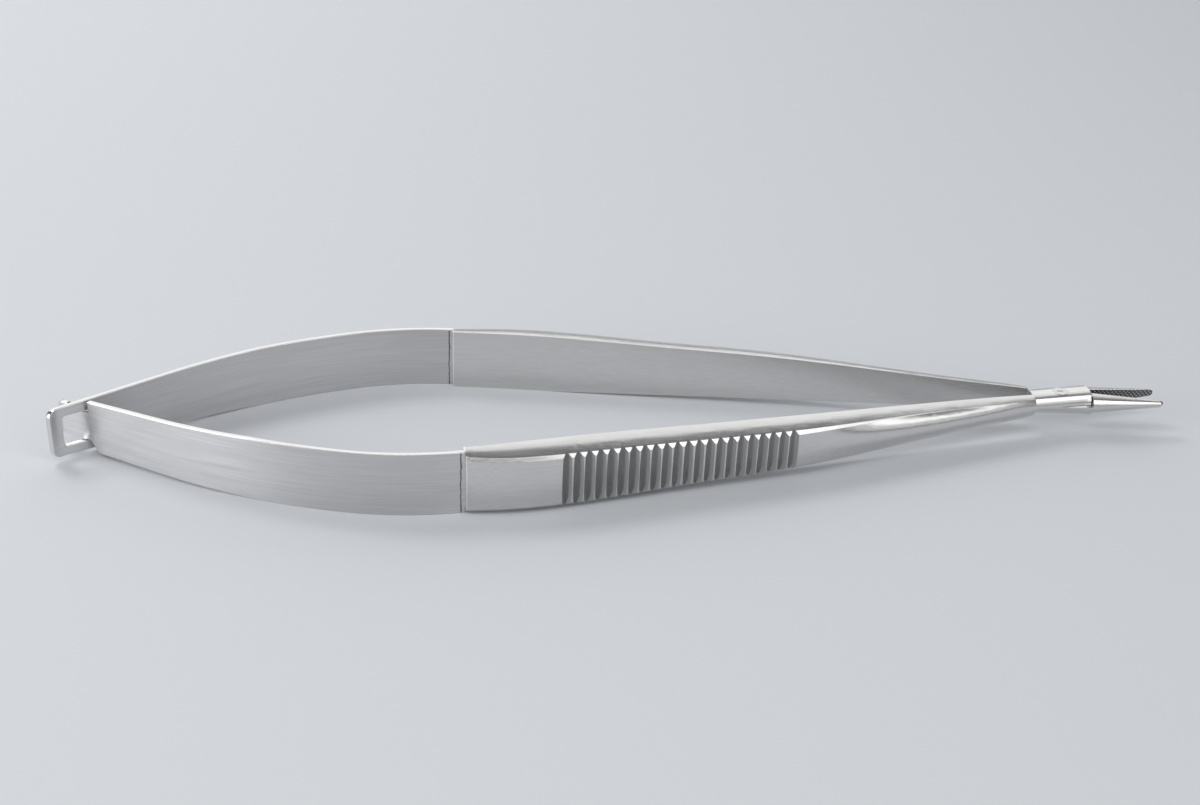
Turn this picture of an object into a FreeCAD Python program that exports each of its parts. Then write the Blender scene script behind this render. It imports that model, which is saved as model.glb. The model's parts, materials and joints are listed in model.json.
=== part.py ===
"""Spring-handled micro needle holder with a lap joint, in millimetres.

Two mirror-image arms cross at a screwed lap joint. Each arm is one forging: a jaw, one half of the
lap joint, a tapering shank and a ridged handle bar. A flat leaf spring is seated in the rear end of
each bar. The leaves bow outwards and cross at the back, where the tongue of the right leaf is hooked
through a window in the left one.

Every piece is drawn round the pivot axis at mid-height and then set down in the part's frame:
+X runs to the jaws, +Z is up, and the origin is the middle of the footprint on the table.
"""
import FreeCAD, Part
import Sketcher
import math
import os

V = FreeCAD.Vector

SIZES = {
    # pose at rest
    "open_angle": 6.5,            # degrees that each arm stands open from the centre line
    # handle bar and shank: distance behind the pivot, inner face, ridge and full height by station
    "bar_height": 8.0,
    "seam_reach": 78.95,
    "seam_inner": 6.35,
    "seam_ridge": 8.3,
    "flare_setback": 5.95,        # ahead of the seam
    "flare_inner": 6.2,
    "flare_ridge": 9.25,
    "grip_setback": 11.65,        # from the seam to the rearmost groove
    "grip_rear_inner": 5.9,
    "grip_rear_ridge": 9.2,
    "grip_front_inner": 3.75,
    "grip_front_ridge": 6.8,
    "grip_front_height": 6.2,
    "shank_reach": 22.0,
    "shank_inner": 2.1,
    "shank_ridge": 4.05,
    "shank_height": 4.7,
    "neck_reach": 10.0,
    "neck_inner": 0.85,
    "neck_ridge": 2.4,
    "neck_height": 3.4,
    "crown_slope": 0.2,           # fall of the top and bottom faces towards the ridge
    "crown_share": 0.025,         # swell of the top and bottom faces, as a share of their width
    "grip_round": 0.08,           # swell of the outer face along the grip
    "shank_round": 0.95,          # swell of the outer face of the shank
    "neck_round": 0.5,
    "bar_edge": 0.35,             # set-back of the broken edges along the ridge of the bar
    "shank_edge": 0.06,           # and of the crisper ones of the shank and jaws
    # grip
    "groove_count": 22,
    "groove_pitch": 1.36,
    "groove_width": 1.2,
    "groove_depth": 0.62,
    # lap joint
    "lap_half_length": 4.0,
    "lap_half_width": 1.85,
    "lap_ridge": 1.4,
    "lap_inner": 0.4,
    "lap_height": 2.7,
    "lap_clearance": 0.04,        # between the two lap halves
    "step_clearance": 0.08,       # between a lap half and the other arm's step
    # jaws
    "jaw_reach": 13.6,
    "jaw_nose_length": 0.35,      # blunt end ahead of the tip section
    "jaw_root_ridge": 1.5,
    "jaw_root_height": 2.4,
    "jaw_root_round": 0.4,
    "jaw_tip_ridge": 0.5,
    "jaw_tip_height": 0.85,
    "jaw_tip_round": 0.12,
    "jaw_nose_ridge": 0.28,
    "jaw_nose_height": 0.5,
    "jaw_nose_round": 0.06,
    # pivot screw
    "screw_journal_radius": 0.8,
    "screw_thread_radius": 0.7,
    "screw_head_radius": 1.0,
    "screw_head_height": 0.4,
    "running_clearance": 0.02,
    "screw_slot_length": 0.8,
    "screw_slot_width": 0.16,
    "screw_slot_depth": 0.12,
    # leaf springs
    "leaf_thickness": 0.7,
    "leaf_end_height": 6.3,
    "leaf_taper_start": 21.0,     # ahead of the crossing
    "leaf_taper_end": 4.5,        # behind the crossing
    "seat_angle": 1.25,           # degrees that the seat turns out from the arm's axis
    "tang_length": 3.0,
    "tang_height": 6.6,
    "front_bow_radius": 35.7,
    "front_bow_turn": 21.8,       # degrees
    "rear_bow_radius": 74.0,
    "rear_bow_turn": 18.5,        # degrees
    # clasp, measured along the leaf from the crossing
    "window_front": 1.2,
    "window_rear": 2.9,
    "window_height": 4.0,
    "clasp_drop": 0.15,           # middle of the clasp, below the middle of the bar
    "window_corner_radius": 0.4,
    "frame_corner_radius": 1.1,
    "curl_radius": 4.5,
    "curl_turn": 22.0,            # degrees
    "shoulder_front": 0.95,
    "shoulder_slant": 1.0,
    "tongue_length": 3.7,
    "tongue_height": 3.8,
    "tongue_corner_radius": 0.7,
    "hook_length": 1.4,           # along the top of the tongue's end
    "hook_rise": 0.55,
}

doc = FreeCAD.newDocument("needle_holder")
sheet = doc.addObject("Spreadsheet::Sheet", "Sizes")
for row, (alias, number) in enumerate(SIZES.items(), start=1):
    sheet.set(f"A{row}", alias)
    sheet.set(f"B{row}", str(number))
    sheet.setAlias(f"B{row}", alias)
doc.recompute()


class Length:
    """A number together with the sheet formula that gives it."""

    def __init__(self, number, formula):
        self.number = float(number)
        self.formula = formula

    def __add__(self, other):
        other = as_length(other)
        return Length(self.number + other.number, f"({self.formula} + {other.formula})")

    def __sub__(self, other):
        other = as_length(other)
        return Length(self.number - other.number, f"({self.formula} - {other.formula})")

    def __mul__(self, other):
        other = as_length(other)
        return Length(self.number * other.number, f"({self.formula} * {other.formula})")

    def __truediv__(self, other):
        other = as_length(other)
        return Length(self.number / other.number, f"({self.formula} / {other.formula})")

    def __neg__(self):
        return Length(-self.number, f"(0 - {self.formula})")

    def __rsub__(self, other):
        return as_length(other) - self

    __radd__ = __add__
    __rmul__ = __mul__


def as_length(value):
    """A plain number as a Length, or the Length itself."""
    return value if isinstance(value, Length) else Length(value, f"({value})")


def size(alias):
    """The Length held by one cell of the sheet."""
    return Length(SIZES[alias], f"{sheet.Name}.{alias}")


def sine(angle):
    """The sine of an angle in degrees."""
    return Length(math.sin(math.radians(angle.number)), f"sin({angle.formula})")


def cosine(angle):
    """The cosine of an angle in degrees."""
    return Length(math.cos(math.radians(angle.number)), f"cos({angle.formula})")


def turned(x, y, angle):
    """A point of the plan, turned anticlockwise about the pivot."""
    return x * cosine(angle) - y * sine(angle), x * sine(angle) + y * cosine(angle)


def bind(thing, path, length):
    """Tie one property or constraint of an object to the sheet."""
    thing.setExpression(path, length.formula)


# Sketches

def new_body(label):
    """An empty body with its label."""
    body = doc.addObject("PartDesign::Body", label)
    body.Label = label
    return body


def new_sketch(body, name, role, base=(0, 0, 0), axis=V(0, 0, 1), angle=0):
    """A sketch on one of the body's origin planes, shifted and turned within its own frame."""
    sketch = body.newObject("Sketcher::SketchObject", name)
    plane = next(item for item in body.Origin.OriginFeatures if item.Role == role)
    sketch.AttachmentSupport = [(plane, "")]
    sketch.MapMode = "FlatFace"
    base = [as_length(value) for value in base]
    angle = as_length(angle)
    rotation = FreeCAD.Rotation(axis, angle.number)
    sketch.AttachmentOffset = FreeCAD.Placement(V(*[value.number for value in base]), rotation)
    for letter, value in zip("xyz", base):
        bind(sketch, f"AttachmentOffset.Base.{letter}", value)
    if angle.number:
        bind(sketch, "AttachmentOffset.Rotation.Angle", angle)
    return sketch


def pin(sketch, geometry, end, point):
    """Hold one end of a sketch element at a point, both ways by formula."""
    for kind, value in zip(("DistanceX", "DistanceY"), point):
        index = sketch.addConstraint(Sketcher.Constraint(kind, -1, 1, geometry, end, value.number))
        sketch.setExpression(f"Constraints[{index}]", value.formula)


def outline(sketch, corners, swells=None, radii=None):
    """A closed outline through the corners. An edge with a swell is an arc, bulging to its right."""
    corners = [(as_length(x), as_length(y)) for x, y in corners]
    swells = swells or {}
    radii = radii or {}
    first = sketch.GeometryCount
    count = len(corners)
    for index, (start, end) in enumerate(zip(corners, corners[1:] + corners[:1])):
        a = V(start[0].number, start[1].number, 0)
        b = V(end[0].number, end[1].number, 0)
        if index not in swells:
            sketch.addGeometry(Part.LineSegment(a, b), False)
            continue
        swell = as_length(swells[index])
        run = b - a
        middle = (a + b) / 2 + V(run.y, -run.x, 0).normalize() * swell.number
        sketch.addGeometry(Part.Arc(a, middle, b), False)
    for index in range(count):
        geometry = first + index
        following = first + (index + 1) % count
        start, end = ends_in_order(sketch, geometry, corners[index])
        next_start, _ = ends_in_order(sketch, following, corners[(index + 1) % count])
        pin(sketch, geometry, start, corners[index])
        sketch.addConstraint(Sketcher.Constraint("Coincident", geometry, end, following, next_start))
        if index in swells:
            swell = as_length(swells[index])
            swell = swell if swell.number > 0 else -swell
            dx = corners[(index + 1) % count][0] - corners[index][0]
            dy = corners[(index + 1) % count][1] - corners[index][1]
            radius = radii.get(index, ((dx * dx + dy * dy) / 4 + swell * swell) / (swell * 2))
            mark = sketch.addConstraint(Sketcher.Constraint("Radius", geometry, radius.number))
            sketch.setExpression(f"Constraints[{mark}]", radius.formula)


def ends_in_order(sketch, geometry, corner):
    """Which ends of an element lie at a corner and away from it: an arc may run backwards."""
    at_corner = V(corner[0].number, corner[1].number, 0)
    gap_start = (sketch.getPoint(geometry, 1) - at_corner).Length
    gap_end = (sketch.getPoint(geometry, 2) - at_corner).Length
    return (1, 2) if gap_start <= gap_end else (2, 1)


def circle(sketch, radius):
    """A circle round the sketch's origin."""
    index = sketch.addGeometry(Part.Circle(V(0, 0, 0), V(0, 0, 1), radius.number), False)
    sketch.addConstraint(Sketcher.Constraint("Coincident", index, 3, -1, 1))
    mark = sketch.addConstraint(Sketcher.Constraint("Radius", index, radius.number))
    sketch.setExpression(f"Constraints[{mark}]", radius.formula)


# Features

def pad(body, name, sketch, length):
    """Material on one side of a sketch."""
    feature = body.newObject("PartDesign::Pad", name)
    feature.Profile = sketch
    feature.Length = length.number
    bind(feature, "Length", length)
    doc.recompute()
    return feature


def pocket(body, name, sketch):
    """A cut right through the body, both ways from the sketch. It has to remove material."""
    before = body.Shape.Volume
    feature = body.newObject("PartDesign::Pocket", name)
    feature.Profile = sketch
    feature.Type = 1
    feature.Midplane = True
    doc.recompute()
    if body.Shape.Volume > before - 1e-4:
        raise RuntimeError(f"{name} cuts nothing")
    return feature


def blind_pocket(body, name, sketch, depth, reversed_cut=False):
    """A cut of one depth from the sketch. It has to remove material."""
    before = body.Shape.Volume
    feature = body.newObject("PartDesign::Pocket", name)
    feature.Profile = sketch
    feature.Length = depth.number
    feature.Reversed = reversed_cut
    bind(feature, "Length", depth)
    doc.recompute()
    if body.Shape.Volume > before - 1e-4:
        raise RuntimeError(f"{name} cuts nothing")
    return feature


def loft(body, name, sections):
    """A smooth skin through a row of sections."""
    feature = body.newObject("PartDesign::AdditiveLoft", name)
    feature.Profile = sections[0]
    feature.Sections = sections[1:]
    doc.recompute()
    return feature


def fillet(body, name, radius, chosen):
    """Round the edges that the test picks. It has to find some."""
    base = body.Tip
    names = [f"Edge{i}" for i, edge in enumerate(base.Shape.Edges, start=1) if chosen(edge)]
    if not names:
        raise RuntimeError(f"{name} finds no edge")
    feature = body.newObject("PartDesign::Fillet", name)
    feature.Base = (base, names)
    feature.Radius = radius.number
    bind(feature, "Radius", radius)
    doc.recompute()
    return feature


# Arms

def profile(inner, ridge, half_height, round_, edge, side):
    """Corners and swells of an arm's cross-section, from the foot of the inner face over the top.

    The inner face is flat, the top and bottom are crowned and fall towards the ridge, the edges of the
    ridge are broken and the outer face swells.
    """
    slope = size("crown_slope")
    low = half_height - (ridge - inner) * slope
    corners = [
        (side * inner, -half_height),
        (side * inner, half_height),
        (side * (ridge - edge), low + edge * slope),
        (side * ridge, low - edge),
        (side * ridge, edge - low),
        (side * (ridge - edge), -low - edge * slope),
    ]
    crown = (ridge - inner) * size("crown_share") * (-side)
    return corners, {1: crown, 3: round_ * (-side), 5: crown}


def section(body, name, reach, side, *measures):
    """A cross-section of an arm, at one distance along it."""
    sketch = new_sketch(body, name, "YZ_Plane", (0, 0, reach))
    outline(sketch, *profile(*measures, side))
    return sketch


def grip_reaches():
    """How far behind the pivot the rearmost groove lies, and the end of the grip."""
    rear = size("seam_reach") - size("grip_setback")
    return rear, rear - size("groove_count") * size("groove_pitch")


def arm(label, threaded):
    """One forging, drawn closed, with its handle on the -Y side and the upper half of the lap."""
    body = new_body(label)
    half_length = size("lap_half_length")
    step = half_length + size("step_clearance")
    turn = size("open_angle") * 2
    gap = size("lap_clearance") / 2
    lap_top = size("lap_height") / 2
    lap_round = size("lap_half_width") - size("lap_ridge")

    # Each end is cut clear of the other arm, square to it where the two meet with the jaws open.
    wide = size("lap_half_width") * 2
    corner = (half_length - wide * sine(turn)) / cosine(turn)
    bend = half_length * (1 - cosine(turn)) / sine(turn)
    lap = new_sketch(body, "lap_plan", "XY_Plane", (0, 0, gap))
    outline(lap, [
        (-step, -wide),
        (corner, -wide),
        (half_length, -bend),
        (half_length, 0),
        (step, 0),
        (step, wide),
        (-corner, wide),
        (-half_length, bend),
        (-half_length, 0),
        (-step, 0),
    ])
    pad(body, "lap_half", lap, lap_top - gap)

    # The crown and the flank of the shank run on along both sides of the lap.
    zero = Length(0, "0")
    edge = size("shank_edge")
    flanks = new_sketch(body, "lap_flanks", "YZ_Plane")
    clear = wide * 2
    for side in (-1, 1):
        corners, swells = profile(
            size("lap_inner"), size("lap_ridge"), lap_top, lap_round, edge, side)
        outline(
            flanks,
            corners[1:5] + [(side * clear, -clear), (side * clear, clear), (side * size("lap_inner"), clear)],
            {0: swells[1], 2: swells[3]})
    pocket(body, "lap_flank_rounding", flanks)

    bar = size("bar_height") / 2
    bar_edge = size("bar_edge")
    flat = size("grip_round")
    grip_rear, grip_front = grip_reaches()
    rear = (size("grip_rear_inner"), size("grip_rear_ridge"), bar)
    front = (size("grip_front_inner"), size("grip_front_ridge"), size("grip_front_height") / 2)
    middle = [(a + b) / 2 for a, b in zip(rear, front)]
    stations = {
        "seam": (size("seam_reach"), size("seam_inner"), size("seam_ridge"), bar, flat, bar_edge),
        "flare": (size("seam_reach") - size("flare_setback"), size("flare_inner"), size("flare_ridge"),
                  bar, flat, bar_edge),
        "grip_rear": (grip_rear, *rear, flat, bar_edge),
        "grip_middle": ((grip_rear + grip_front) / 2, *middle, flat, bar_edge),
        "grip_front": (grip_front, *front, flat, bar_edge),
        "shank": (size("shank_reach"), size("shank_inner"), size("shank_ridge"),
                  size("shank_height") / 2, size("shank_round"), edge),
        "neck": (size("neck_reach"), size("neck_inner"), size("neck_ridge"),
                 size("neck_height") / 2, size("neck_round"), edge),
        "step": (step, size("lap_inner"), size("lap_ridge"), lap_top, lap_round, edge),
    }
    loft(body, "handle_and_shank", [
        section(body, f"{name}_section", -reach, -1, *measures)
        for name, (reach, *measures) in stations.items()
    ])

    root = (zero, size("jaw_root_ridge"), size("jaw_root_height") / 2, size("jaw_root_round"), edge)
    tip = (zero, size("jaw_tip_ridge"), size("jaw_tip_height") / 2, size("jaw_tip_round"), edge)
    nose = (zero, size("jaw_nose_ridge"), size("jaw_nose_height") / 2, size("jaw_nose_round"), edge)
    tip_reach = size("jaw_reach") - size("jaw_nose_length")
    loft(body, "jaw", [
        section(body, "jaw_root_section", step, 1, *root),
        section(body, "jaw_tip_section", tip_reach, 1, *tip),
    ])
    loft(body, "jaw_nose", [
        section(body, "jaw_nose_root_section", tip_reach, 1, *tip),
        section(body, "jaw_nose_section", size("jaw_reach"), 1, *nose),
    ])

    cut_grip(body)
    cut_seat(body)
    bore_pivot(body, threaded)
    return body


def cut_grip(body):
    """A row of V grooves right across the outer face of the bar."""
    rear, front = grip_reaches()
    run = rear - front
    rise = size("grip_rear_ridge") - size("grip_front_ridge")
    slope = math.degrees(math.atan2(rise.number, run.number))
    slant = Length(slope, f"atan2({rise.formula}; {run.formula})")
    sketch = new_sketch(
        body, "groove_profile", "XY_Plane", (-rear, -size("grip_rear_ridge"), 0), V(0, 0, 1), slant)
    half = size("groove_width") / 2
    clear = size("groove_depth")
    outline(sketch, [
        (-half * 2, -clear - size("grip_round")),
        (half * 2, -clear - size("grip_round")),
        (0, size("groove_depth") - size("grip_round")),
    ])
    groove = pocket(body, "groove", sketch)
    row = body.newObject("PartDesign::LinearPattern", "groove_row")
    row.Originals = [groove]
    row.Direction = (sketch, ["H_Axis"])
    row.Mode = "Spacing"
    row.Occurrences = int(SIZES["groove_count"])
    row.Offset = SIZES["groove_pitch"]
    bind(row, "Occurrences", size("groove_count"))
    bind(row, "Offset", size("groove_pitch"))
    body.Tip = row
    doc.recompute()


def seat_offset():
    """The middle of the leaf at the rear end of the bar."""
    return (size("seam_inner") + size("seam_ridge")) / 2


def cut_seat(body):
    """The mortise in the rear end of the bar that takes the tang of the leaf."""
    sketch = new_sketch(
        body, "seat_profile", "XY_Plane",
        (-size("seam_reach"), -seat_offset(), -size("tang_height") / 2),
        V(0, 0, 1), size("seat_angle"))
    half = size("leaf_thickness") / 2
    outline(sketch, [
        (-size("tang_length"), -half),
        (size("tang_length"), -half),
        (size("tang_length"), half),
        (-size("tang_length"), half),
    ])
    blind_pocket(body, "leaf_seat", sketch, size("tang_height"), True)


def bore_pivot(body, threaded):
    """The hole for the pivot screw: a thread in one arm, a counterbored bearing in the other."""
    if threaded:
        sketch = new_sketch(body, "thread_circle", "XY_Plane")
        circle(sketch, size("screw_thread_radius"))
        pocket(body, "thread_hole", sketch)
        return
    sketch = new_sketch(body, "bearing_circle", "XY_Plane")
    circle(sketch, size("screw_journal_radius") + size("running_clearance"))
    pocket(body, "bearing_hole", sketch)
    top = size("lap_height") / 2
    sketch = new_sketch(body, "head_circle", "XY_Plane", (0, 0, top))
    circle(sketch, size("screw_head_radius") + size("running_clearance"))
    blind_pocket(body, "head_seat", sketch, size("screw_head_height") + size("running_clearance"))


# Pivot screw

def screw():
    """Flat-headed screw, ground flush with both faces of the joint, with what is left of its slot."""
    body = new_body("pivot_screw")
    top = size("lap_height") / 2
    under_head = top - size("screw_head_height")
    zero = Length(0, "0")
    sketch = new_sketch(body, "screw_profile", "XZ_Plane")
    outline(sketch, [
        (zero, -top),
        (size("screw_thread_radius"), -top),
        (size("screw_thread_radius"), -size("lap_clearance") / 2),
        (size("screw_journal_radius"), -size("lap_clearance") / 2),
        (size("screw_journal_radius"), under_head),
        (size("screw_head_radius"), under_head),
        (size("screw_head_radius"), top),
        (zero, top),
    ])
    turned_form = body.newObject("PartDesign::Revolution", "screw_form")
    turned_form.Profile = sketch
    turned_form.ReferenceAxis = (sketch, ["V_Axis"])
    turned_form.Angle = 360
    doc.recompute()

    slot = new_sketch(body, "slot_profile", "XY_Plane", (0, 0, top))
    long_half = size("screw_slot_length") / 2
    short_half = size("screw_slot_width") / 2
    outline(slot, [
        (-long_half, -short_half),
        (long_half, -short_half),
        (long_half, short_half),
        (-long_half, short_half),
    ])
    blind_pocket(body, "screw_slot", slot, size("screw_slot_depth"))
    return body


# Leaf springs

def leaf_centre_line(curl):
    """Joints (x, y, slope) of the right leaf's centre line in plan, from its tang to its rear end.

    The slope is the angle, in degrees, that the leaf closes towards the middle on its way back.
    """
    seat = turned(-size("seam_reach"), -seat_offset(), size("open_angle"))
    splay = size("open_angle") + size("seat_angle")
    tang = (seat[0] + size("tang_length") * cosine(splay), seat[1] + size("tang_length") * sine(splay))
    joints = [(*tang, -splay), (*seat, -splay)]

    def bend(radius, turn):
        x, y, slope = joints[-1]
        new_slope = slope + turn
        joints.append((x - radius * (sine(new_slope) - sine(slope)),
                       y - radius * (cosine(new_slope) - cosine(slope)), new_slope))

    bend(size("front_bow_radius"), size("front_bow_turn"))
    bend(size("rear_bow_radius"), size("rear_bow_turn"))
    x, y, slope = joints[-1]
    crossing = x + y * cosine(slope) / sine(slope)
    past = size("window_rear") if curl else size("tongue_length")
    joints.append((crossing - past * cosine(slope), past * sine(slope), slope))
    if curl:
        bend(size("curl_radius"), size("curl_turn"))
    return joints, crossing


def strip(body, joints, side):
    """The leaf at full height: its centre line, thickened."""
    half = size("leaf_thickness") / 2
    inner = [(x + half * sine(slope), y + half * cosine(slope)) for x, y, slope in joints]
    outer = [(x - half * sine(slope), y - half * cosine(slope)) for x, y, slope in joints]
    loop = outer + inner[::-1]
    count = len(joints)
    arcs = {1: ("front_bow_radius", "front_bow_turn"), 2: ("rear_bow_radius", "rear_bow_turn")}
    if count > 5:
        arcs[4] = ("curl_radius", "curl_turn")
    swells = {}
    radii = {}
    for index, (radius, turn) in arcs.items():
        sagitta = 1 - cosine(size(turn) / 2).number
        for edge, offset in ((index, half), (2 * count - 2 - index, -half)):
            radii[edge] = size(radius) + offset
            rise = Length(radii[edge].number * sagitta, "0")
            outward = 1 if edge < count else -1
            swells[edge] = rise * (outward * side)
    loop = [(x, y * (-side)) for x, y in loop]
    sketch = new_sketch(body, "strip_plan", "XY_Plane", (0, 0, -size("bar_height") / 2))
    outline(sketch, loop, swells, radii)
    pad(body, "strip", sketch, size("bar_height"))


def narrow(body, joints, crossing, side):
    """The taper towards the rear end, and the tang at the front end."""
    full = size("bar_height") / 2
    start = crossing + size("leaf_taper_start")
    finish = crossing - size("leaf_taper_end")
    sketch = new_sketch(body, "taper_profile", "XZ_Plane")
    for up in (1, -1):
        outline(sketch, [
            (start, full * up),
            (finish, size("leaf_end_height") / 2 * up - size("clasp_drop")),
            (finish, full * 2 * up),
            (start, full * 2 * up),
        ])
    pocket(body, "taper", sketch)

    seat = joints[1]
    sketch = new_sketch(
        body, "tang_profile", "XZ_Plane", (seat[0], 0, seat[1] * side),
        V(0, 1, 0), size("open_angle") * (-side))
    for up in (1, -1):
        outline(sketch, [
            (0, size("tang_height") / 2 * up),
            (size("tang_length") * 2, size("tang_height") / 2 * up),
            (size("tang_length") * 2, full * 2 * up),
            (0, full * 2 * up),
        ])
    pocket(body, "tang", sketch)


def clasp_sketch(body, name, crossing, slope, side):
    """A sketch on the flat rear end of a leaf: x runs forward from the crossing, y is up."""
    return new_sketch(
        body, name, "XZ_Plane", (crossing, -size("clasp_drop"), 0), V(0, 1, 0), slope * side)


def clasp_point(crossing, slope, side, along, up):
    """Where a point of the clasp sketch lies in the body."""
    return V(crossing.number + along * cosine(slope).number, along * side * sine(slope).number,
             up - SIZES["clasp_drop"])


def near(points, reach):
    """A test for edges whose middle lies within reach of one of the points."""
    return lambda edge: any((edge.CenterOfMass - point).Length < reach for point in points)


def right_leaf():
    """Leaf with the tongue, whose end rises to a hook."""
    side = -1
    body = new_body("right_leaf_spring")
    joints, crossing = leaf_centre_line(curl=False)
    slope = joints[-1][2]
    strip(body, joints, side)
    narrow(body, joints, crossing, side)

    neck = size("tongue_height") / 2
    front = size("shoulder_front")
    end = -size("tongue_length") * 2
    clear = size("bar_height")
    hook_top = neck + size("hook_rise")
    hook_front = size("hook_length") - size("tongue_length")
    sketch = clasp_sketch(body, "tongue_profile", crossing, slope, side)
    outline(sketch, [
        (end, hook_top),
        (hook_front, hook_top),
        (hook_front + size("hook_rise"), neck),
        (front, neck),
        (front, clear),
        (end, clear),
    ])
    slant = size("shoulder_slant")
    low = -size("bar_height") / 2
    outline(sketch, [
        (end, -neck),
        (front, -neck),
        (front + slant, low),
        (front + slant, -clear),
        (end, -clear),
    ])
    pocket(body, "tongue", sketch)

    corners = [
        clasp_point(crossing, slope, side, -SIZES["tongue_length"], up)
        for up in (hook_top.number, -neck.number)
    ]
    fillet(body, "tongue_corners", size("tongue_corner_radius"), near(corners, 0.3))
    return body


def left_leaf():
    """Leaf with the window, its end curled towards the tongue's side."""
    side = 1
    body = new_body("left_leaf_spring")
    joints, crossing = leaf_centre_line(curl=True)
    slope = joints[-2][2]
    strip(body, joints, side)
    narrow(body, joints, crossing, side)

    half = size("window_height") / 2
    sketch = clasp_sketch(body, "window_profile", crossing, slope, side)
    outline(sketch, [
        (-size("window_rear"), -half),
        (size("window_front"), -half),
        (size("window_front"), half),
        (-size("window_rear"), half),
    ])
    pocket(body, "window", sketch)
    corners = [
        clasp_point(crossing, slope, side, along.number, half.number * up)
        for along in (-size("window_rear"), size("window_front"))
        for up in (1, -1)
    ]
    fillet(body, "window_corners", size("window_corner_radius"), near(corners, 0.3))

    x, y, _ = joints[-1]
    rear_end = V(x.number, -y.number, 0)
    low_edges = near(
        [rear_end + V(0, 0, SIZES["leaf_end_height"] / 2 * up - SIZES["clasp_drop"]) for up in (1, -1)],
        0.4)
    fillet(body, "frame_corners", size("frame_corner_radius"),
           lambda edge: low_edges(edge) and edge.Length < 2 * SIZES["leaf_thickness"])
    return body, joints


# Assembly

right_arm = arm("right_arm", threaded=False)
left_arm = arm("left_arm", threaded=True)
pivot_screw = screw()
right_leaf_spring = right_leaf()
left_leaf_spring, rear_joints = left_leaf()

rear_x, _, rear_slope = rear_joints[-1]
rear_reach = -rear_x.number + SIZES["leaf_thickness"] / 2 * sine(rear_slope).number
front_reach = SIZES["jaw_reach"] * cosine(size("open_angle")).number
pivot = V((rear_reach - front_reach) / 2, 0, SIZES["bar_height"] / 2)
open_right = FreeCAD.Rotation(V(0, 0, 1), SIZES["open_angle"])
open_left = FreeCAD.Rotation(V(0, 0, 1), -SIZES["open_angle"])
flipped = FreeCAD.Rotation(V(1, 0, 0), 180)
right_arm.Placement = FreeCAD.Placement(pivot, open_right)
left_arm.Placement = FreeCAD.Placement(pivot, open_left.multiply(flipped))
for body in (pivot_screw, right_leaf_spring, left_leaf_spring):
    body.Placement = FreeCAD.Placement(pivot, FreeCAD.Rotation())
doc.recompute()

PIECES = [right_arm, left_arm, pivot_screw, right_leaf_spring, left_leaf_spring]
for item in doc.Objects:
    if "Invalid" in item.State or "Error" in item.State:
        raise RuntimeError(f"{item.Name} failed: {item.State}")
for piece in PIECES:
    shape = piece.Shape
    if shape.isNull() or not shape.isValid() or len(shape.Solids) != 1:
        raise RuntimeError(f"{piece.Label} is not one valid solid")

os.makedirs("parts", exist_ok=True)
for piece in PIECES:
    piece.Shape.exportStep(f"parts/{piece.Label}.step")
    print(piece.Label, round(piece.Shape.Volume, 2), "cubic millimetres")
print("pivot axis at x =", round(pivot.x, 4))
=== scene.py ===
# %% [markdown]
# # Spring-handled needle holder
#
# A needle holder for fine sutures is two steel arms that cross at a screwed lap joint. Squeezing the
# ridged grips closes the jaws, and two flat leaf springs, hooked together at the back, open them again.
# This lesson dresses a finished engineering model. The arms and the screw keep their exact shape and
# get real steel finishes. The leaves are modelled afresh, as strips wrapped along the line of the real
# leaf.

# %% Load the frame
import bmesh
import bpy
import json
import math
from mathutils import Matrix, Vector


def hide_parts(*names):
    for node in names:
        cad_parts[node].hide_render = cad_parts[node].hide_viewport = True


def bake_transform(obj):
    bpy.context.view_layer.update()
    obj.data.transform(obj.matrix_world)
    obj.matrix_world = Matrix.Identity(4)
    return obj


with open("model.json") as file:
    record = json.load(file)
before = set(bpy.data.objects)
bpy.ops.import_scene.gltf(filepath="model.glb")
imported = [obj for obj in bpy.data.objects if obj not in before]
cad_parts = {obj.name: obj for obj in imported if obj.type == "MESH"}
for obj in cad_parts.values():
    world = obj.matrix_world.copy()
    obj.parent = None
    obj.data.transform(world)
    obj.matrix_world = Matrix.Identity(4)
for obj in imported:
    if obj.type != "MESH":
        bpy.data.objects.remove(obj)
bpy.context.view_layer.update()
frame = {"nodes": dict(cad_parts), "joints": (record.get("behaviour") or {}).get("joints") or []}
MM = 0.001
PIVOT = Vector(frame["joints"][0]["pos_m"])
OPEN_ANGLE = math.radians(6.5)
print("pivot axis", [round(value / MM, 2) for value in PIVOT])

# %% [markdown]
# Colours are written as the sRGB hex values that a picture editor shows. Shaders work with linear
# light, so one function turns one into the other. One more function adds a shader node with its
# settings and links, so that each material below reads as a short recipe.

# %% Colour and node helpers
def colour(hex_value):
    """Linear RGBA of an sRGB hex colour."""
    channels = [int(hex_value[i:i + 2], 16) / 255 for i in (1, 3, 5)]
    linear = [c / 12.92 if c <= 0.04045 else ((c + 0.055) / 1.055) ** 2.4 for c in channels]
    return (*linear, 1.0)


def add_node(tree, kind, values=None, links=None, **settings):
    """One shader node, with its settings, its socket values and what feeds it."""
    node = tree.nodes.new(kind)
    for name, value in settings.items():
        setattr(node, name, value)
    for socket, value in (values or {}).items():
        node.inputs[socket].default_value = value
    for socket, source in (links or {}).items():
        tree.links.new(source, node.inputs[socket])
    return node


def new_material(name):
    """An empty node material and its output node."""
    material = bpy.data.materials.new(name)
    material.use_nodes = True
    material.node_tree.nodes.clear()
    return material, material.node_tree.nodes.new("ShaderNodeOutputMaterial")


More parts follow.
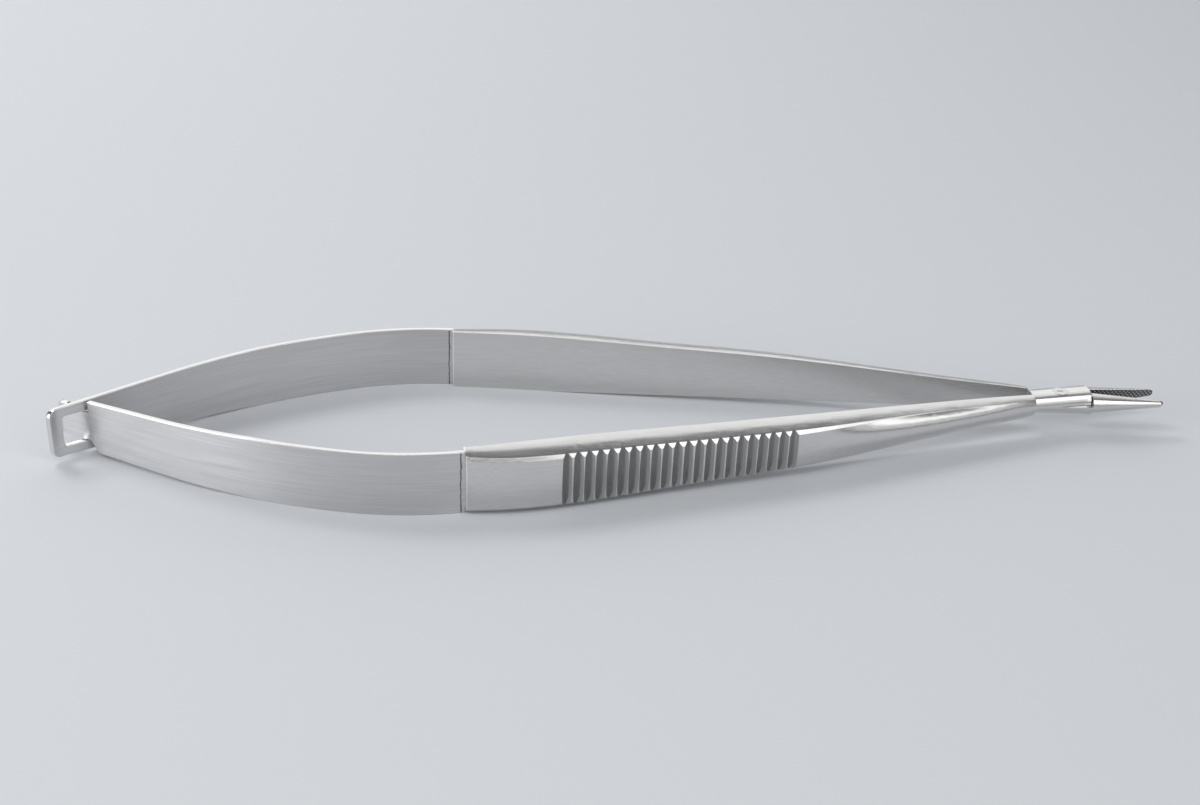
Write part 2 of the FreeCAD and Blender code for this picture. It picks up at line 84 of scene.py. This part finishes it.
# %% [markdown]
# Surgical stainless steel is ground on a belt and then satin finished, so it carries fine lines along
# the arm. They spread a highlight across the arm and break it up a little. A noise texture that is
# stretched a long way in one direction makes such lines. It drives a small bump, a small change of
# roughness and a faint streak of tone. Its values crowd round the middle, so only the range from 0.3
# to 0.7 is used. The lines of a real belt are about 0.05 mm apart. These are drawn at 0.14 mm on the
# arms, which is about as fine as a picture of the whole instrument can show, and at 0.22 mm on the
# faces of the leaves, which are brushed more coarsely.
#
# Each arm stands 6.5 degrees open, so a Mapping node turns the pattern to run along its own arm. The
# leaves are curved, so their pattern follows their own UV map, which holds metres along the strip.

# %% Satin ground steel
FINE_GRAIN = 0.14 * MM
COARSE_GRAIN = 0.22 * MM
GRAIN_LENGTH = 45  # times its spacing
GRAIN_DEPTH = 0.0065  # times its spacing
GRAIN_ROUGHNESS = 0.03
NOISE_RANGE = {"From Min": 0.3, "From Max": 0.7}
STREAK_DARKEST = 0.87
ARM_ROUGHNESS = 0.22
LEAF_ROUGHNESS = 0.33
EDGE_ROUGHNESS = 0.15


def steel(name, base, roughness, spacing, coordinates, turn=0.0):
    """Satin steel with grain along the first axis of its coordinates, turned about the pivot."""
    material, output = new_material(name)
    tree = material.node_tree
    source = add_node(tree, "ShaderNodeTexCoord").outputs[coordinates]
    place = add_node(tree, "ShaderNodeMapping", {"Location": PIVOT, "Rotation": (0, 0, turn)},
                     {"Vector": source}, vector_type="TEXTURE", name="place_on_piece")
    stretch = (1 / (spacing * GRAIN_LENGTH), 1 / spacing, 1 / spacing)
    stretched = add_node(tree, "ShaderNodeMapping", {"Scale": stretch},
                         {"Vector": place.outputs["Vector"]})
    grain = add_node(tree, "ShaderNodeTexNoise", {"Scale": 1.0, "Detail": 3.0, "Roughness": 0.6},
                     {"Vector": stretched.outputs["Vector"]})
    gloss = add_node(tree, "ShaderNodeMapRange",
                     {**NOISE_RANGE, "To Min": roughness - GRAIN_ROUGHNESS,
                      "To Max": roughness + GRAIN_ROUGHNESS},
                     {"Value": grain.outputs["Fac"]}, name="gloss")
    streak = add_node(tree, "ShaderNodeMapRange",
                      {**NOISE_RANGE, "To Min": STREAK_DARKEST, "To Max": 1.0},
                      {"Value": grain.outputs["Fac"]})
    tint = add_node(tree, "ShaderNodeVectorMath", {0: colour(base)[:3]},
                    {1: streak.outputs["Result"]}, operation="MULTIPLY", name="tint")
    bump = add_node(tree, "ShaderNodeBump", {"Strength": 1.0, "Distance": spacing * GRAIN_DEPTH},
                    {"Height": grain.outputs["Fac"]}, name="grain_bump")
    surface = add_node(tree, "ShaderNodeBsdfPrincipled", {"Metallic": 1.0},
                       {"Roughness": gloss.outputs["Result"], "Base Color": tint.outputs["Vector"],
                        "Normal": bump.outputs["Normal"]}, name="surface")
    tree.links.new(surface.outputs["BSDF"], output.inputs["Surface"])
    return material


right_steel = steel("satin_ground_steel_right", "#dddcdb", ARM_ROUGHNESS, FINE_GRAIN, "Object",
                    OPEN_ANGLE)
left_steel = steel("satin_ground_steel_left", "#dddcdb", ARM_ROUGHNESS, FINE_GRAIN, "Object",
                   -OPEN_ANGLE)
screw_steel = steel("ground_flush_steel", "#d2d1d0", ARM_ROUGHNESS, FINE_GRAIN, "Object")
leaf_steel = steel("brushed_spring_steel", "#dbdadb", LEAF_ROUGHNESS, COARSE_GRAIN, "UV")
edge_steel = steel("polished_strip_edge", "#e6e5e4", EDGE_ROUGHNESS, FINE_GRAIN, "UV")
for made in (right_steel, left_steel, screw_steel, leaf_steel, edge_steel):
    print("steel", made.name, "nodes", len(made.node_tree.nodes))

# %% [markdown]
# The small marks in the next steps are all one steel made darker or brighter in one place. Each could
# be a material of its own, but then its grain would stop at the border. So a mask from 0 to 1 says
# where the mark is, and one function multiplies the colour by a shade there.

# %% Shade a steel by a mask
def shade_where(material, mask, shade, full=1.0):
    """Multiply the colour of a steel by a shade where a mask reaches its full value."""
    tree = material.node_tree
    base_colour = tree.nodes["surface"].inputs["Base Color"]
    factor = add_node(tree, "ShaderNodeMapRange", {"From Max": full, "To Min": 1.0, "To Max": shade},
                      {"Value": mask})
    product = add_node(tree, "ShaderNodeVectorMath",
                       links={0: base_colour.links[0].from_socket, 1: factor.outputs["Result"]},
                       operation="MULTIPLY")
    tree.links.new(product.outputs["Vector"], base_colour)


# %% [markdown]
# The gripping faces of the jaws are cut with fine crossed teeth, 0.4 mm apart, that hold a needle
# still. They could be modelled as pyramids, but they are finer than a hair's width in depth. So they
# are a bump, made by two crossed sets of waves. The wave texture runs through 20 radians in one unit
# of length, which sets its scale. The gripping face lies in the plane of the pivot, and the arm's
# turned coordinates single it out: it is where the distance across the arm is nought.

# %% Teeth of the jaws
TOOTH_PITCH = 0.4 * MM
TOOTH_DEPTH = 0.06 * MM
JAW_START = 4.2 * MM
FACE_TOLERANCE = 0.02 * MM
TOOTH_ROUGHNESS = 0.12
VALLEY_FULL = 0.7
TOOTH_VALLEY_PAINTED_SHADE = 0.2
WAVE_RADIANS = 20
WAVE_SCALE = 2 * math.pi / WAVE_RADIANS / TOOTH_PITCH


def serrate_jaw(material):
    """Add crossed teeth to the gripping face of one arm's jaw."""
    tree = material.node_tree
    nodes = tree.nodes
    place = nodes["place_on_piece"].outputs["Vector"]
    parts = add_node(tree, "ShaderNodeSeparateXYZ", links={"Vector": place})
    on_face = add_node(tree, "ShaderNodeMath", {1: 0.0, 2: FACE_TOLERANCE},
                       {0: parts.outputs["Y"]}, operation="COMPARE")
    ahead = add_node(tree, "ShaderNodeMath", {1: JAW_START}, {0: parts.outputs["X"]},
                     operation="GREATER_THAN")
    mask = add_node(tree, "ShaderNodeMath", links={0: on_face.outputs["Value"],
                                                   1: ahead.outputs["Value"]}, operation="MULTIPLY")
    waves = []
    for lean in (1, -1):
        leaning = add_node(tree, "ShaderNodeMapping", {"Rotation": (0, lean * math.pi / 4, 0)},
                           {"Vector": place})
        waves.append(add_node(tree, "ShaderNodeTexWave", {"Scale": WAVE_SCALE},
                              {"Vector": leaning.outputs["Vector"]}))
    teeth = add_node(tree, "ShaderNodeMath", links={0: waves[0].outputs["Fac"],
                                                    1: waves[1].outputs["Fac"]}, operation="MINIMUM")
    height = add_node(tree, "ShaderNodeMath", links={0: teeth.outputs["Value"],
                                                     1: mask.outputs["Value"]}, operation="MULTIPLY")
    bump = add_node(tree, "ShaderNodeBump", {"Strength": 1.0, "Distance": TOOTH_DEPTH},
                    {"Height": height.outputs["Value"],
                     "Normal": nodes["grain_bump"].outputs["Normal"]})
    rough = add_node(tree, "ShaderNodeMath", {1: TOOTH_ROUGHNESS},
                     {0: mask.outputs["Value"], 2: nodes["gloss"].outputs["Result"]},
                     operation="MULTIPLY_ADD")
    valley = add_node(tree, "ShaderNodeMath", links={0: mask.outputs["Value"],
                                                     1: height.outputs["Value"]},
                      operation="SUBTRACT")
    # The valleys between the teeth are painted darker, as painted shade.
    shade_where(material, valley.outputs["Value"], TOOTH_VALLEY_PAINTED_SHADE, VALLEY_FULL)
    tree.links.new(bump.outputs["Normal"], nodes["surface"].inputs["Normal"])
    tree.links.new(rough.outputs["Value"], nodes["surface"].inputs["Roughness"])


for material in (right_steel, left_steel):
    serrate_jaw(material)
    print("teeth on", material.name, "mm apart", TOOTH_PITCH / MM)

# %% [markdown]
# The grooves of the grip are painted darker than the faces round them, as painted shade. They could be
# picked out as single faces, but only their walls face along the arm, so within the grip the surface
# normal singles them out. The rim at the rear end of each bar is painted brighter, as a painted
# highlight.

# %% Painted shade in the grooves and a painted highlight on the rim
GRIP_MIDDLE = -52.3 * MM
GRIP_HALF = 15.8 * MM
RIM_END = -78.8 * MM
WALL_START = 0.15
WALL_FULL = 0.5
GROOVE_PAINTED_SHADE = 0.64
RIM_PAINTED_HIGHLIGHT = 1.3


def finish_arm(material, turn):
    """Painted shade in the grip's grooves and a painted highlight on the rear rim of one arm."""
    tree = material.node_tree
    place = tree.nodes["place_on_piece"].outputs["Vector"]
    along = add_node(tree, "ShaderNodeSeparateXYZ", links={"Vector": place}).outputs["X"]
    normal = add_node(tree, "ShaderNodeTexCoord").outputs["Normal"]
    facing = add_node(tree, "ShaderNodeVectorMath", {1: (math.cos(turn), math.sin(turn), 0)},
                      {0: normal}, operation="DOT_PRODUCT")
    lean = add_node(tree, "ShaderNodeMath", links={0: facing.outputs["Value"]}, operation="ABSOLUTE")
    wall = add_node(tree, "ShaderNodeMapRange", {"From Min": WALL_START, "From Max": WALL_FULL},
                    {"Value": lean.outputs["Value"]})
    in_grip = add_node(tree, "ShaderNodeMath", {1: GRIP_MIDDLE, 2: GRIP_HALF}, {0: along},
                       operation="COMPARE")
    # Painted shade on the walls of the grooves within the grip.
    groove_shade_mask = add_node(tree, "ShaderNodeMath", links={0: wall.outputs["Result"],
                                                     1: in_grip.outputs["Value"]},
                      operation="MULTIPLY")
    shade_where(material, groove_shade_mask.outputs["Value"], GROOVE_PAINTED_SHADE)
    # Painted highlight on the rim at the rear end of the bar.
    rim_highlight_mask = add_node(tree, "ShaderNodeMath", {1: RIM_END}, {0: along}, operation="LESS_THAN")
    shade_where(material, rim_highlight_mask.outputs["Value"], RIM_PAINTED_HIGHLIGHT)


finish_arm(right_steel, OPEN_ANGLE)
finish_arm(left_steel, -OPEN_ANGLE)
print("grip mm along the arm", [round((GRIP_MIDDLE + half) / MM, 1) for half in (-GRIP_HALF, GRIP_HALF)])

# %% [markdown]
# A leaf is brazed into its bar, which leaves a thin dark line across it. A noise moves the line a
# little to and fro, because braze never runs quite straight. The slot of the screw is painted dark, as
# painted shadow. All of it lies below the top of the screw, so its height singles it out.

# %% Braze line and slot
BRAZE_PLACE = 3.5 * MM
BRAZE_HALF = 0.08 * MM
BRAZE_WAVE = 1.2 * MM
BRAZE_WAVER = 0.35 * MM
BRAZE_SHADE = 0.25
SLOT_TOP = 1.3 * MM
SLOT_PAINTED_SHADOW = 0.08


def finish_leaf_seam(material):
    """A thin uneven dark line where the leaf is brazed into its bar."""
    tree = material.node_tree
    source = add_node(tree, "ShaderNodeTexCoord").outputs["UV"]
    along = add_node(tree, "ShaderNodeSeparateXYZ", links={"Vector": source}).outputs["X"]
    noise = add_node(tree, "ShaderNodeTexNoise", {"Scale": 1 / BRAZE_WAVE}, {"Vector": source})
    line = add_node(tree, "ShaderNodeMath", {1: BRAZE_WAVER, 2: BRAZE_PLACE - BRAZE_WAVER / 2},
                    {0: noise.outputs["Fac"]}, operation="MULTIPLY_ADD")
    on_line = add_node(tree, "ShaderNodeMath", {2: BRAZE_HALF},
                       {0: along, 1: line.outputs["Value"]}, operation="COMPARE")
    shade_where(material, on_line.outputs["Value"], BRAZE_SHADE)


def finish_slot(material):
    """Darken the screw below its top face as painted shadow, which leaves only the slot dark."""
    tree = material.node_tree
    place = tree.nodes["place_on_piece"].outputs["Vector"]
    height = add_node(tree, "ShaderNodeSeparateXYZ", links={"Vector": place}).outputs["Z"]
    # Painted shadow in the slot of the screw.
    slot_shadow_mask = add_node(tree, "ShaderNodeMath", {1: SLOT_TOP}, {0: height}, operation="LESS_THAN")
    shade_where(material, slot_shadow_mask.outputs["Value"], SLOT_PAINTED_SHADOW)


finish_leaf_seam(leaf_steel)
finish_slot(screw_steel)
print("braze line mm from the tip of the tang", BRAZE_PLACE / MM)

# %% [markdown]
# The faces of the leaves are brushed more strongly than the arms, and brushing makes a highlight long
# across its lines and short along them. The shader does this with its anisotropic setting, which needs
# to know which way the lines run. A Tangent node takes that from the UV map, and a quarter turn lays
# the long side of the highlight across the strip.

# %% Stretched highlights on the leaves
GRAIN_MAP = "grain"
brushed = leaf_steel.node_tree.nodes["surface"]
brushed.inputs["Anisotropic"].default_value = 0.8
brushed.inputs["Anisotropic Rotation"].default_value = 0.25
lines = add_node(leaf_steel.node_tree, "ShaderNodeTangent", direction_type="UV_MAP",
                 uv_map=GRAIN_MAP)
leaf_steel.node_tree.links.new(lines.outputs["Tangent"], brushed.inputs["Tangent"])

# %% [markdown]
# The arms and the screw are already right in shape, so they only take a finish.

# %% Dress the arms and the screw
for node, material in (("right_arm", right_steel), ("left_arm", left_steel),
                       ("pivot_screw", screw_steel)):
    piece = frame["nodes"][node]
    piece.data.materials.clear()
    piece.data.materials.append(material)
print("arm faces", len(frame["nodes"]["right_arm"].data.polygons))

# %% [markdown]
# Each leaf is a strip of spring steel, 0.7 mm thick and 8 mm high, that narrows towards its hooked
# end. It could be bent from a box with a modifier. It is easier to check when it is first laid out
# flat, cut to its outline, given its thickness and edges, and only then wrapped along the line that
# the real leaf follows: two arcs, a straight end and, on the left leaf, a short curl. The sizes
# repeat those of the solid leaf, so that the new one lies where that one did.

# %% The line of a leaf
SEAM_REACH = 78.95 * MM
SEAT_OFFSET = 7.325 * MM
SEAT_ANGLE = math.radians(1.25)
TANG_LENGTH = 3.0 * MM
FRONT_BOW = (35.7 * MM, math.radians(21.8))
REAR_BOW = (74.0 * MM, math.radians(18.5))
CURL = (4.5 * MM, math.radians(22.0))
WINDOW_REAR = 2.9 * MM
TONGUE_LENGTH = 3.7 * MM


def leaf_stretches(curled):
    """Length and turn of each stretch of a leaf, from the tip of its tang to its rear end."""
    splay = OPEN_ANGLE + SEAT_ANGLE
    height = SEAM_REACH * math.sin(OPEN_ANGLE) + SEAT_OFFSET * math.cos(OPEN_ANGLE)
    slope = -splay
    for radius, turn in (FRONT_BOW, REAR_BOW):
        height += radius * (math.cos(slope + turn) - math.cos(slope))
        slope += turn
    to_crossing = height / math.sin(slope)
    past = WINDOW_REAR if curled else TONGUE_LENGTH
    stretches = [(TANG_LENGTH, 0.0)]
    stretches += [(radius * turn, turn) for radius, turn in (FRONT_BOW, REAR_BOW)]
    stretches.append((to_crossing + past, 0.0))
    if curled:
        stretches.append((CURL[0] * CURL[1], CURL[1]))
    crossing = sum(length for length, _ in stretches[:3]) + to_crossing
    return stretches, crossing


def point_on_leaf(stretches, distance):
    """Place and slope of the right leaf's centre line at a distance from the tip of its tang."""
    slope = -(OPEN_ANGLE + SEAT_ANGLE)
    seat = Matrix.Rotation(OPEN_ANGLE, 2) @ Vector((-SEAM_REACH, -SEAT_OFFSET))
    x = seat.x + TANG_LENGTH * math.cos(slope)
    y = seat.y - TANG_LENGTH * math.sin(slope)
    for length, turn in stretches:
        part = min(distance, length)
        share = part / length
        if turn:
            radius = length / turn
            x -= radius * (math.sin(slope + turn * share) - math.sin(slope))
            y -= radius * (math.cos(slope + turn * share) - math.cos(slope))
        else:
            x -= part * math.cos(slope)
            y += part * math.sin(slope)
        slope += turn * share
        distance -= part
        if distance <= 0:
            break
    return x, y, slope


for curled in (False, True):
    stretches, crossing = leaf_stretches(curled)
    print("leaf", "window" if curled else "tongue", "length mm",
          round(sum(length for length, _ in stretches) / MM, 2), "crossing", round(crossing / MM, 2))

# %% [markdown]
# The flat blank starts as an outline of a few points. Its round corners come from bevelling single
# points of that outline. A fill then makes one flat sheet of it, with the window left open, and the
# sheet is cut across every millimetre, so that it can bend. Towards its hooked end a leaf narrows and
# drops a little. Both are measured along the leaf, from the place where the two leaves cross.

# %% The flat blank of a leaf
LEAF_HALF = 4.0 * MM
TANG_HALF = 3.3 * MM
TAPER_START = 23.5 * MM
TAPER_END = 5.3 * MM
END_HALF = 3.15 * MM
CLASP_DROP = 0.15 * MM
CORNER_SEGMENTS = 6
BEND_STEP = 1.0 * MM
SAME_PLACE = 1e-7


def edge_height(up, place, crossing):
    """Height of the upper (1) or lower (-1) edge of a leaf where it narrows."""
    share = (place - crossing + TAPER_START) / (TAPER_START + TAPER_END)
    return up * (LEAF_HALF + (END_HALF - LEAF_HALF) * share) - CLASP_DROP * share


def leaf_outline(crossing, rear_end):
    """The corners of a leaf: its tang and its full height, which both leaves share, and a rear end."""
    lower = [(0, -TANG_HALF, 0), (TANG_LENGTH, -TANG_HALF, 0), (TANG_LENGTH, -LEAF_HALF, 0),
             (crossing - TAPER_START, -LEAF_HALF, 0)]
    upper = [(x, -y, radius) for x, y, radius in reversed(lower)]
    return lower + rear_end + upper


def add_outline(blank, corners):
    """Add one closed outline. Each corner is x, y and the radius that rounds it."""
    verts = [blank.verts.new((x, y, 0)) for x, y, _ in corners]
    blank.faces.new(verts)
    for vert, (_, _, radius) in zip(verts, corners):
        if radius:
            bmesh.ops.bevel(blank, geom=[vert], affect="VERTICES", offset=radius,
                            segments=CORNER_SEGMENTS, profile=0.5, material=-1)


def fill_blank(blank, cuts):
    """Turn the outlines into one flat sheet, cut across at the given places."""
    bmesh.ops.delete(blank, geom=blank.faces[:], context="FACES_ONLY")
    bmesh.ops.triangle_fill(blank, use_beauty=True, edges=blank.edges[:])
    for x in cuts:
        geometry = blank.verts[:] + blank.edges[:] + blank.faces[:]
        bmesh.ops.bisect_plane(blank, geom=geometry, dist=SAME_PLACE, plane_co=(x, 0, 0),
                               plane_no=(1, 0, 0))
    slanted = [edge for edge in blank.edges if len(edge.link_faces) == 2
               and abs(edge.verts[0].co.x - edge.verts[1].co.x) > SAME_PLACE]
    bmesh.ops.dissolve_edges(blank, edges=slanted, use_verts=False)


def every(step, start, end):
    """Places between start and end, one step apart."""
    return [start + step * index for index in range(1, math.ceil((end - start) / step))]


# %% [markdown]
# A solidify step gives the sheet its thickness, and a fine bevel softens its sharp edges. The real
# edges are ground and polished after the strip is blanked, so every face that doesn't lie flat in the
# strip takes a second, polished steel, and catches the light as a bright line. Each point then goes to
# its place on the line of the leaf. All faces are shaded smooth, and a weighted normal modifier lets
# the large flat ones lead, so that the fine bevel shades as a round edge.

# %% Thicken a blank and wrap it
LEAF_THICKNESS = 0.7 * MM
EDGE_ROUNDING = 0.1 * MM
EDGE_SEGMENTS = 3
EDGE_ANGLE = math.radians(60)
SHADING_ANGLE = math.radians(35)
FLAT_FACE = 0.95
MID_HEIGHT = PIVOT.z


def finish_leaf(blank, name, stretches, side):
    """Thicken the flat blank, soften its edges and wrap it along its line."""
    uv_layer = blank.loops.layers.uv.new(GRAIN_MAP)
    bmesh.ops.recalc_face_normals(blank, faces=blank.faces)
    bmesh.ops.solidify(blank, geom=blank.faces[:], thickness=LEAF_THICKNESS)
    lowest = min(vert.co.z for vert in blank.verts)
    bmesh.ops.translate(blank, verts=blank.verts, vec=(0, 0, -lowest - LEAF_THICKNESS / 2))
    bmesh.ops.recalc_face_normals(blank, faces=blank.faces)
    sharp = [edge for edge in blank.edges if len(edge.link_faces) == 2
             and edge.calc_face_angle() > EDGE_ANGLE
             and abs(edge.verts[0].co.z - edge.verts[1].co.z) < SAME_PLACE]
    bmesh.ops.bevel(blank, geom=sharp, affect="EDGES", offset=EDGE_ROUNDING, segments=EDGE_SEGMENTS,
                    profile=0.5, material=-1)
    for face in blank.faces:
        face.smooth = True
        face.material_index = 0 if abs(face.normal.z) > FLAT_FACE else 1
        for loop in face.loops:
            loop[uv_layer].uv = (loop.vert.co.x, loop.vert.co.y + loop.vert.co.z)
    for vert in blank.verts:
        x, y, slope = point_on_leaf(stretches, vert.co.x)
        depth = vert.co.z
        vert.co = (
            PIVOT.x + x + depth * math.sin(slope),
            side * (y + depth * math.cos(slope)),
            MID_HEIGHT + vert.co.y,
        )
    bmesh.ops.recalc_face_normals(blank, faces=blank.faces)
    mesh = bpy.data.meshes.new(name)
    blank.to_mesh(mesh)
    blank.free()
    mesh.set_sharp_from_angle(angle=SHADING_ANGLE)
    piece = bpy.data.objects.new(name, mesh)
    bpy.context.scene.collection.objects.link(piece)
    piece.data.materials.append(leaf_steel)
    piece.data.materials.append(edge_steel)
    weighted = piece.modifiers.new("flat_faces_lead", "WEIGHTED_NORMAL")
    weighted.keep_sharp = True
    lows, highs = ([fit(vert.co[axis] for vert in mesh.vertices) for axis in range(3)]
                   for fit in (min, max))
    print(name, len(mesh.polygons), "faces, box mm",
          [round(value / MM, 2) for value in lows + highs])
    return piece


# %% [markdown]
# The right leaf ends in a tongue that passes through the window of the left one. Its upper shoulder is
# square and its lower one is slanted. A small hook at the top of the tongue keeps it from slipping out.

# %% Right leaf, with the tongue
SHOULDER_FRONT = 0.95 * MM
SHOULDER_SLANT = 1.0 * MM
TONGUE_HALF = 1.9 * MM
TONGUE_CORNER = 0.7 * MM
HOOK_LENGTH = 1.4 * MM
HOOK_RISE = 0.55 * MM

stretches, crossing = leaf_stretches(curled=False)
length = sum(part for part, _ in stretches)
shoulder = crossing - SHOULDER_FRONT
slant = shoulder - SHOULDER_SLANT
hook = length - HOOK_LENGTH
tongue_top = TONGUE_HALF - CLASP_DROP
tongue_foot = -TONGUE_HALF - CLASP_DROP
blank = bmesh.new()
add_outline(blank, leaf_outline(crossing, [
    (slant, edge_height(-1, slant, crossing), 0),
    (shoulder, tongue_foot, 0),
    (length, tongue_foot, TONGUE_CORNER),
    (length, tongue_top + HOOK_RISE, TONGUE_CORNER),
    (hook, tongue_top + HOOK_RISE, 0),
    (hook - HOOK_RISE, tongue_top, 0),
    (shoulder, tongue_top, 0),
    (shoulder, edge_height(1, shoulder, crossing), 0),
]))
fill_blank(blank, every(BEND_STEP, 0, length))
right_leaf = finish_leaf(blank, "right_leaf_strip", stretches, 1)

# %% [markdown]
# The left leaf ends in a frame round a rectangular window, and its last two millimetres curl in behind
# the tongue. The curl is tight, so the sheet is cut more finely there.

# %% Left leaf, with the window
WINDOW_FRONT = 1.2 * MM
WINDOW_HALF = 2.0 * MM
WINDOW_CORNER = 0.4 * MM
FRAME_CORNER = 1.1 * MM
CURL_STEP = 0.3 * MM

stretches, crossing = leaf_stretches(curled=True)
length = sum(part for part, _ in stretches)
blank = bmesh.new()
add_outline(blank, leaf_outline(crossing, [
    (length, edge_height(-1, length, crossing), FRAME_CORNER),
    (length, edge_height(1, length, crossing), FRAME_CORNER),
]))
add_outline(blank, [
    (crossing + along, up * WINDOW_HALF - CLASP_DROP, WINDOW_CORNER)
    for along, up in ((-WINDOW_FRONT, -1), (WINDOW_REAR, -1), (WINDOW_REAR, 1), (-WINDOW_FRONT, 1))
])
curl_start = crossing + WINDOW_REAR
fill_blank(blank, every(BEND_STEP, 0, curl_start) + every(CURL_STEP, curl_start, length))
left_leaf = finish_leaf(blank, "left_leaf_strip", stretches, -1)

# %% [markdown]
# Each new leaf takes the place of a solid leaf of the model. Its placing is baked into its points, and
# the solid leaf is hidden.

# %% Bake the leaves in place and hide the solid ones
for piece, node, own, other in (
    (right_leaf, "right_leaf_spring", "right_half", "left_half"),
    (left_leaf, "left_leaf_spring", "left_half", "right_half"),
):
    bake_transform(piece)
    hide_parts(node)

# %% [markdown]
# The instrument lies on a plain pale floor. Steel shows what is round it, so it needs soft panels
# with some darker room between them, and the rest of the room is a dim even grey. Each lamp has its
# own work. The back panel fills the upper faces, and the overhead panel draws a bright line along the
# ridges. In front there are two panels with a gap between them: the right one lights the ridged side
# of the near arm, the low left one the bent part of the near leaf, and the part that faces the gap
# stays darker. The right panel is for the shank, and the small lamp high on the left gives the
# shadows.

# %% Floor and light
FLOOR_HALF = 3.0
floor_mesh = bpy.data.meshes.new("floor")
floor_form = bmesh.new()
bmesh.ops.create_grid(floor_form, x_segments=1, y_segments=1, size=FLOOR_HALF)
floor_form.to_mesh(floor_mesh)
floor_form.free()
floor = bpy.data.objects.new("floor", floor_mesh)
bpy.context.scene.collection.objects.link(floor)
floor_paint, output = new_material("matt_pale_floor")
surface = add_node(floor_paint.node_tree, "ShaderNodeBsdfPrincipled",
                   {"Base Color": colour("#d3d6da"), "Roughness": 0.8, "Specular IOR Level": 0.2})
floor_paint.node_tree.links.new(surface.outputs["BSDF"], output.inputs["Surface"])
floor.data.materials.append(floor_paint)

world = bpy.data.worlds.new("studio")
bpy.context.scene.world = world
world.use_nodes = True
background = world.node_tree.nodes["Background"]
background.inputs["Color"].default_value = colour("#e2e4e8")
background.inputs["Strength"].default_value = 0.2


def soft_lamp(name, place, width, depth, power):
    """A rectangular area lamp that points at the origin, with sizes in metres and power in watts."""
    light = bpy.data.lights.new(name, "AREA")
    light.shape = "RECTANGLE"
    light.size = width
    light.size_y = depth
    light.energy = power
    lamp = bpy.data.objects.new(name, light)
    lamp.location = place
    lamp.visible_camera = False
    lamp.rotation_euler = (-Vector(place)).to_track_quat("-Z", "Y").to_euler()
    bpy.context.scene.collection.objects.link(lamp)
    print("lamp", name, "watts per square metre", round(power / (width * depth), 1))


soft_lamp("back_panel", (-0.05, 0.5, 0.30), 1.1, 0.5, 1.8)
soft_lamp("overhead_panel", (0.0, -0.22, 0.43), 0.7, 0.2, 0.8)
soft_lamp("right_front_panel", (0.33, -0.50, 0.26), 0.62, 0.42, 0.5)
soft_lamp("right_panel", (0.42, -0.40, 0.42), 0.4, 0.3, 0.36)
soft_lamp("low_left_panel", (-0.48, -0.19, 0.15), 0.42, 0.24, 1.4)
soft_lamp("high_left_lamp", (-0.27, 0.27, 0.46), 0.2, 0.2, 0.95)

# %% [markdown]
# The camera stands where a camera fitted to the reference photograph stands: 0.2 m from the
# instrument, looking 28 degrees down and 8 degrees to the right, with its frame tipped slightly.

# %% Camera
CAMERA_PLACE = Vector((-28.51, -176.67, 99.65)) * MM
CAMERA_YAW = math.radians(8.041)
CAMERA_PITCH = math.radians(27.892)
CAMERA_ROLL = math.radians(2.476)
CAMERA_LENS = 48.51
SENSOR_WIDTH = 36.0
camera_data = bpy.data.cameras.new("camera")
camera_data.lens = CAMERA_LENS
camera_data.sensor_width = SENSOR_WIDTH
camera_data.clip_start = 0.01
camera_data.clip_end = 20
camera = bpy.data.objects.new("camera", camera_data)
camera.matrix_world = (
    Matrix.Translation(CAMERA_PLACE)
    @ Matrix.Rotation(-CAMERA_YAW, 4, "Z")
    @ Matrix.Rotation(math.pi / 2 - CAMERA_PITCH, 4, "X")
    @ Matrix.Rotation(CAMERA_ROLL, 4, "Z")
)
bpy.context.scene.collection.objects.link(camera)
bpy.context.scene.camera = camera
bpy.context.scene.view_settings.view_transform = "Standard"
print("camera to pivot mm", round((PIVOT - CAMERA_PLACE).length / MM, 1))
